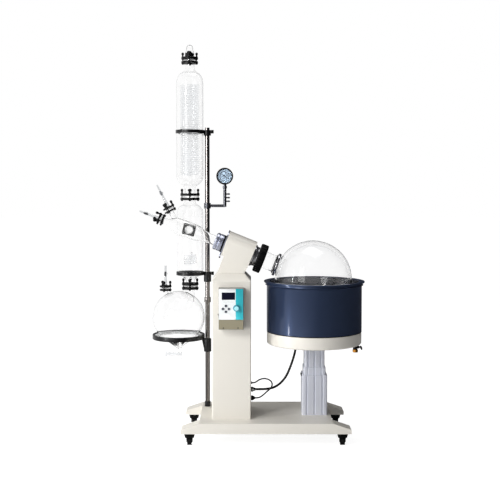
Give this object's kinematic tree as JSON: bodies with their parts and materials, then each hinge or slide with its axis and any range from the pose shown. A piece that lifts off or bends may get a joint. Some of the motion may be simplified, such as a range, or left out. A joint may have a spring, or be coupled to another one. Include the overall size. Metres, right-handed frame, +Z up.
{
  "type": "rotary evaporator",
  "caption": "Floor-standing rotary evaporator: tilted glass flask in a lifting heated bath, drive head on a column, glass condenser tower and receiving flask.",
  "frame": {"origin": "on the floor under the middle of the machine", "axes": "+X to the right towards the bath, +Y to the back, +Z up"},
  "size_m": [1.3674, 0.6295, 2.397],
  "materials": {
    "cream_paint": "satin powder coat",
    "navy_paint": "gloss enamel",
    "stainless": "brushed",
    "chrome": "polished",
    "steel": "machined",
    "lift_aluminium": "anodised",
    "aluminium": "turned",
    "brass": "bare",
    "black_plastic": "moulded",
    "black_steel": "satin black",
    "rubber": "moulded",
    "glass": "clear borosilicate",
    "box_grey": "moulded",
    "panel_white": "smooth",
    "knob_cyan": "smooth",
    "button_dark": "moulded",
    "cable_black": "smooth sheath",
    "needle_black": "matt black"
  },
  "bodies": {
    "frame": {"base_frame": "cream_paint", "column": "cream_paint", "head_housing": "cream_paint", "head_end_plate": "cream_paint", "head_bearings": "steel", "drive_motor": "steel", "bearing_cap": "chrome", "vapour_collar": "aluminium", "lift_outer": "lift_aluminium", "support_rod": "chrome", "ring_clamps": "black_steel", "condenser": "glass", "condenser_coils": "glass", "lower_vessel": "glass", "glass_flanges": "black_plastic", "wing_nuts": "black_plastic", "adapter": "glass", "receiving_flask": "glass", "support_ring": "rubber", "gauge_case": "black_steel", "manifold": "chrome", "control_box": "box_grey", "control_panel": "panel_white", "cable_plugs": "black_plastic", "thick_cable": "cable_black", "thin_cable": "cable_black"},
    "rotor": {"evaporating_flask": "glass", "flask_ring": "chrome", "clamp_ring": "black_plastic", "vapour_shaft": "steel"},
    "pinion": {"motor_pinion": "steel"},
    "bath": {"bath_pot": "navy_paint", "bath_liner": "stainless", "bath_heater": "stainless", "bath_base": "cream_paint", "bath_valve": "brass", "lift_inner": "lift_aluminium"},
    "lift_stage": {"lift_middle": "lift_aluminium"},
    "bath_tap": {"drain_lever": "black_plastic"},
    "feed_key": {"feed_valve_key": "black_plastic"},
    "end_key": {"end_valve_key": "black_plastic"},
    "vent_key": {"vent_valve_key": "black_plastic"},
    "drain_key": {"receiver_drain_key": "black_plastic"},
    "upper_knob": {"upper_clamp_knob": "black_plastic"},
    "lower_knob": {"lower_clamp_knob": "black_plastic"},
    "needle": {"gauge_needle": "needle_black"},
    "speed_dial": {"speed_knob": "knob_cyan"},
    "switch": {"power_switch": "button_dark"},
    "key_up": {"button_up": "button_dark"},
    "key_down": {"button_down": "button_dark"},
    "key_left": {"button_left": "button_dark"},
    "key_right": {"button_right": "button_dark"},
    "swivel_front_left": {"caster_fork_front_left": "black_plastic"},
    "wheel_front_left": {"caster_wheel_front_left": "rubber"},
    "swivel_rear_left": {"caster_fork_rear_left": "black_plastic"},
    "wheel_rear_left": {"caster_wheel_rear_left": "rubber"},
    "swivel_front_right": {"caster_fork_front_right": "black_plastic"},
    "wheel_front_right": {"caster_wheel_front_right": "rubber"},
    "swivel_rear_right": {"caster_fork_rear_right": "black_plastic"},
    "wheel_rear_right": {"caster_wheel_rear_right": "rubber"}
  },
  "joints": [
    {"name": "flask_spin", "type": "hinge", "parent": "frame", "child": "rotor", "pos_m": [0.372, 0, 0.958], "axis": [0.9308, 0, -0.3655], "continuous": true},
    {"name": "pinion_spin", "type": "hinge", "parent": "frame", "child": "pinion", "pos_m": [-0.09432, 0, 1.05088], "axis": [0.9308, 0, -0.3655], "continuous": true},
    {"name": "bath_lift", "type": "slide", "parent": "frame", "child": "bath", "axis": [0, 0, 1], "range_m": [-0.18, 0], "deforming": ["thick_cable"]},
    {"name": "lift_stage_slide", "type": "slide", "parent": "frame", "child": "lift_stage", "axis": [0, 0, 1], "range_m": [-0.045, 0]},
    {"name": "bath_tap_turn", "type": "hinge", "parent": "bath", "child": "bath_tap", "pos_m": [0.66, 0, 0.541], "axis": [1, 0, 0], "range_deg": [0, 90]},
    {"name": "feed_key_turn", "type": "hinge", "parent": "frame", "child": "feed_key", "pos_m": [-0.55014, 0, 1.47901], "axis": [0, -1, 0], "range_deg": [0, 90]},
    {"name": "end_key_turn", "type": "hinge", "parent": "frame", "child": "end_key", "pos_m": [-0.64178, 0, 1.35611], "axis": [0, -1, 0], "range_deg": [0, 90]},
    {"name": "vent_key_turn", "type": "hinge", "parent": "frame", "child": "vent_key", "pos_m": [-0.54, 0.16, 0.97515], "axis": [0, -1, 0], "range_deg": [0, 90]},
    {"name": "drain_key_turn", "type": "hinge", "parent": "frame", "child": "drain_key", "pos_m": [-0.451, 0.16, 0.472], "axis": [-1, 0, 0], "range_deg": [0, 90]},
    {"name": "upper_knob_turn", "type": "hinge", "parent": "frame", "child": "upper_knob", "pos_m": [-0.278, 0.16, 1.86], "axis": [1, 0, 0], "range_deg": [0, 360]},
    {"name": "lower_knob_turn", "type": "hinge", "parent": "frame", "child": "lower_knob", "pos_m": [-0.278, 0.16, 0.978], "axis": [1, 0, 0], "range_deg": [0, 360]},
    {"name": "gauge_needle_turn", "type": "hinge", "parent": "frame", "child": "needle", "pos_m": [-0.169, 0.16, 1.584], "axis": [0, -1, 0], "range_deg": [0, 270], "stiffness_Nm_per_rad": 0.0005},
    {"name": "speed_dial_turn", "type": "hinge", "parent": "frame", "child": "speed_dial", "pos_m": [-0.0914, -0.25, 0.8115], "axis": [0, -1, 0], "range_deg": [-135, 135]},
    {"name": "switch_rock", "type": "hinge", "parent": "frame", "child": "switch", "pos_m": [-0.194, -0.215, 0.761], "axis": [0, 1, 0], "range_deg": [0, 12]},
    {"name": "button_up_press", "type": "slide", "parent": "frame", "child": "key_up", "axis": [0, 1, 0], "range_m": [0, 0.0015], "stiffness_N_per_m": 400},
    {"name": "button_down_press", "type": "slide", "parent": "frame", "child": "key_down", "axis": [0, 1, 0], "range_m": [0, 0.0015], "stiffness_N_per_m": 400},
    {"name": "button_left_press", "type": "slide", "parent": "frame", "child": "key_left", "axis": [0, 1, 0], "range_m": [0, 0.0015], "stiffness_N_per_m": 400},
    {"name": "button_right_press", "type": "slide", "parent": "frame", "child": "key_right", "axis": [0, 1, 0], "range_m": [0, 0.0015], "stiffness_N_per_m": 400},
    {"name": "swivel_front_left_turn", "type": "hinge", "parent": "frame", "child": "swivel_front_left", "pos_m": [-0.368, -0.235, 0], "axis": [0, 0, 1], "continuous": true},
    {"name": "wheel_front_left_roll", "type": "hinge", "parent": "swivel_front_left", "child": "wheel_front_left", "pos_m": [-0.368, -0.221, 0.025], "axis": [1, 0, 0], "continuous": true},
    {"name": "swivel_rear_left_turn", "type": "hinge", "parent": "frame", "child": "swivel_rear_left", "pos_m": [-0.368, 0.235, 0], "axis": [0, 0, 1], "continuous": true},
    {"name": "wheel_rear_left_roll", "type": "hinge", "parent": "swivel_rear_left", "child": "wheel_rear_left", "pos_m": [-0.368, 0.249, 0.025], "axis": [1, 0, 0], "continuous": true},
    {"name": "swivel_front_right_turn", "type": "hinge", "parent": "frame", "child": "swivel_front_right", "pos_m": [0.532, -0.235, 0], "axis": [0, 0, 1], "continuous": true},
    {"name": "wheel_front_right_roll", "type": "hinge", "parent": "swivel_front_right", "child": "wheel_front_right", "pos_m": [0.532, -0.221, 0.025], "axis": [1, 0, 0], "continuous": true},
    {"name": "swivel_rear_right_turn", "type": "hinge", "parent": "frame", "child": "swivel_rear_right", "pos_m": [0.532, 0.235, 0], "axis": [0, 0, 1], "continuous": true},
    {"name": "wheel_rear_right_roll", "type": "hinge", "parent": "swivel_rear_right", "child": "wheel_rear_right", "pos_m": [0.532, 0.249, 0.025], "axis": [1, 0, 0], "continuous": true}
  ],
  "couplings": [
    {"joint": "pinion_spin", "follows": "flask_spin", "ratio": -3},
    {"joint": "lift_stage_slide", "follows": "bath_lift", "ratio": 0.25}
  ]
}
